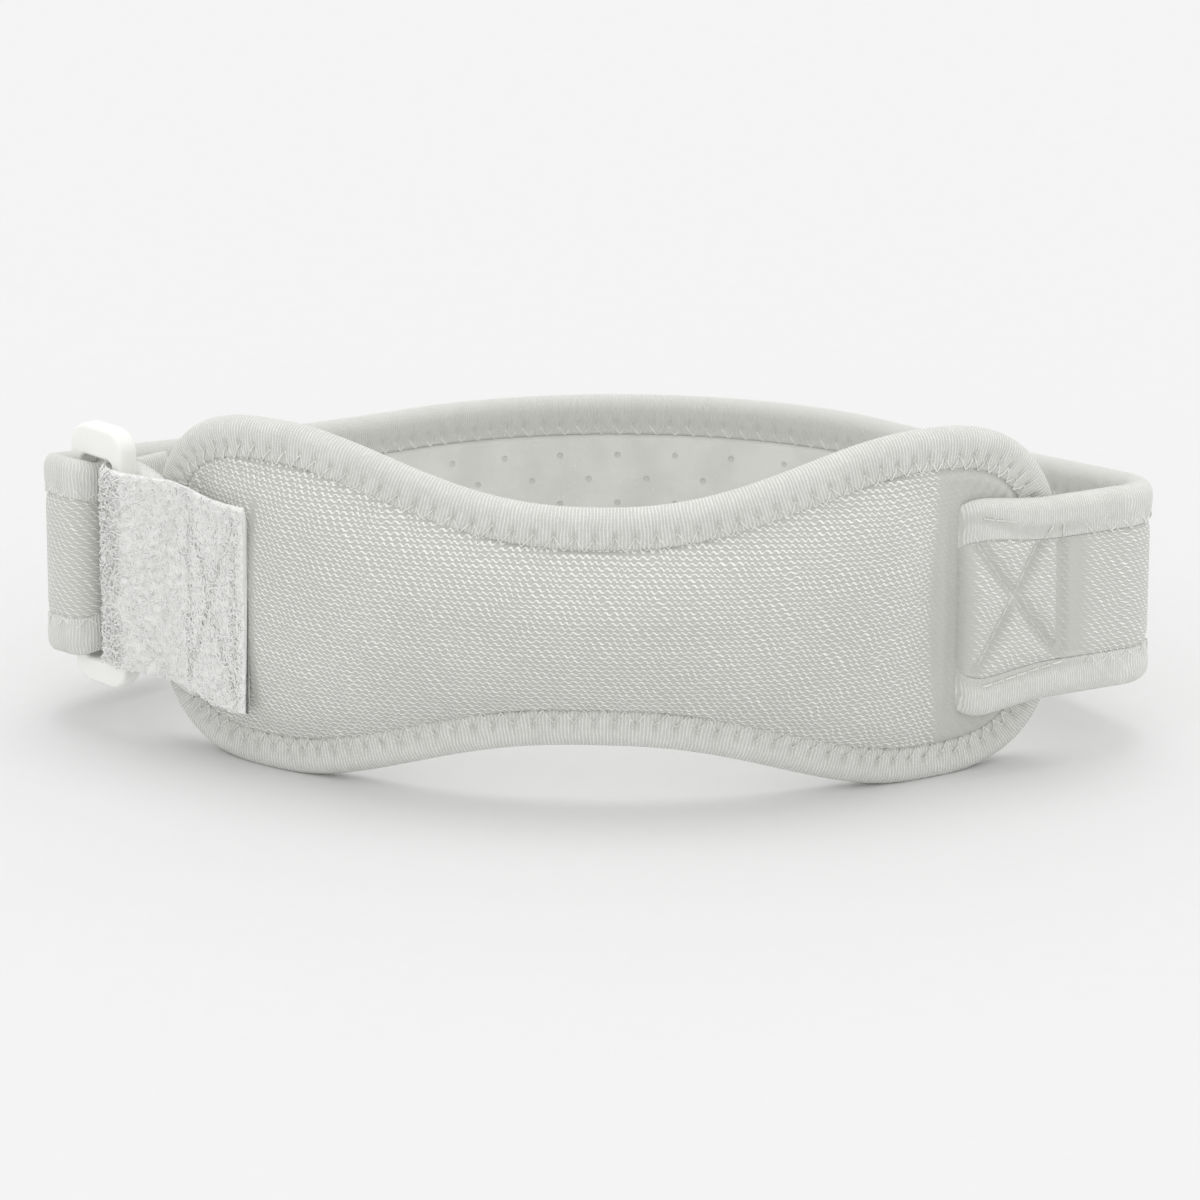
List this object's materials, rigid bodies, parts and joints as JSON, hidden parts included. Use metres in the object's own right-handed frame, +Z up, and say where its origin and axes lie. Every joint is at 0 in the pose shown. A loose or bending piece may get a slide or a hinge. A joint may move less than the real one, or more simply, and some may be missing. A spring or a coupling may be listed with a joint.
{
  "type": "patella strap",
  "caption": "Padded knee strap with a dog-bone front pad, knit-bound edges, and a strap closed into a loop through a rectangular ring by a fuzzy fastening tape.",
  "frame": {"origin": "middle of the footprint on the surface the strap stands on", "axes": "+X to the strap's sewn end, along the pad; -Y out of the pad's front; +Z up along the leg"},
  "size_m": [0.1744, 0.1108, 0.0562],
  "materials": {
    "knit": "wavy jersey knit over padding",
    "ribbed_binding": "fine ribbed knit tape with zigzag stitches",
    "strap_knit": "jersey knit",
    "lining": "smooth perforated neoprene",
    "strap_binding": "fine ribbed knit tape with zigzag stitches",
    "ring_plastic": "glossy moulded plastic",
    "fuzzy_tape": "matte fuzzy loop pile"
  },
  "bodies": {
    "root": {"pad_body": "knit", "pad_binding": "ribbed_binding", "strap_face": "strap_knit", "strap_lining": "lining", "strap_binding_top": "strap_binding", "strap_binding_bottom": "strap_binding", "ring_buckle": "ring_plastic", "closure_tape": "fuzzy_tape"}
  },
  "joints": []
}
